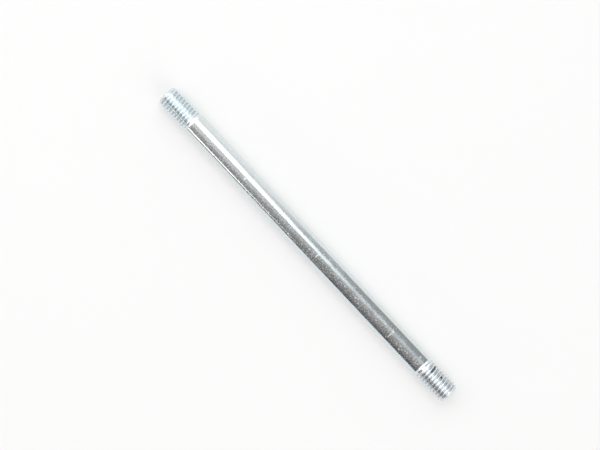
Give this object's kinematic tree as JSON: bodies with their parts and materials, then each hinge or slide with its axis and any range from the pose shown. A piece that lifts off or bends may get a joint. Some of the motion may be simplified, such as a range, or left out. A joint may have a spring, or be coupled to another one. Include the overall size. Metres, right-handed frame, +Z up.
{
  "type": "stud bolt",
  "caption": "Double-ended steel stud bolt: a long plain round shank with a short right-hand unified coarse thread and a chamfered point at each end.",
  "frame": {"origin": "on the stud's axis, half way between its two tips", "axes": "+X along the stud's axis, +Z up from the surface it lies on, +Y completes the right-handed set"},
  "size_m": [0.216, 0.0126, 0.0126],
  "materials": {
    "zinc_plated_steel": "bright zinc plating with fine drawn grain along the shank"
  },
  "bodies": {
    "root": {"stud_bolt": "zinc_plated_steel"}
  },
  "joints": []
}
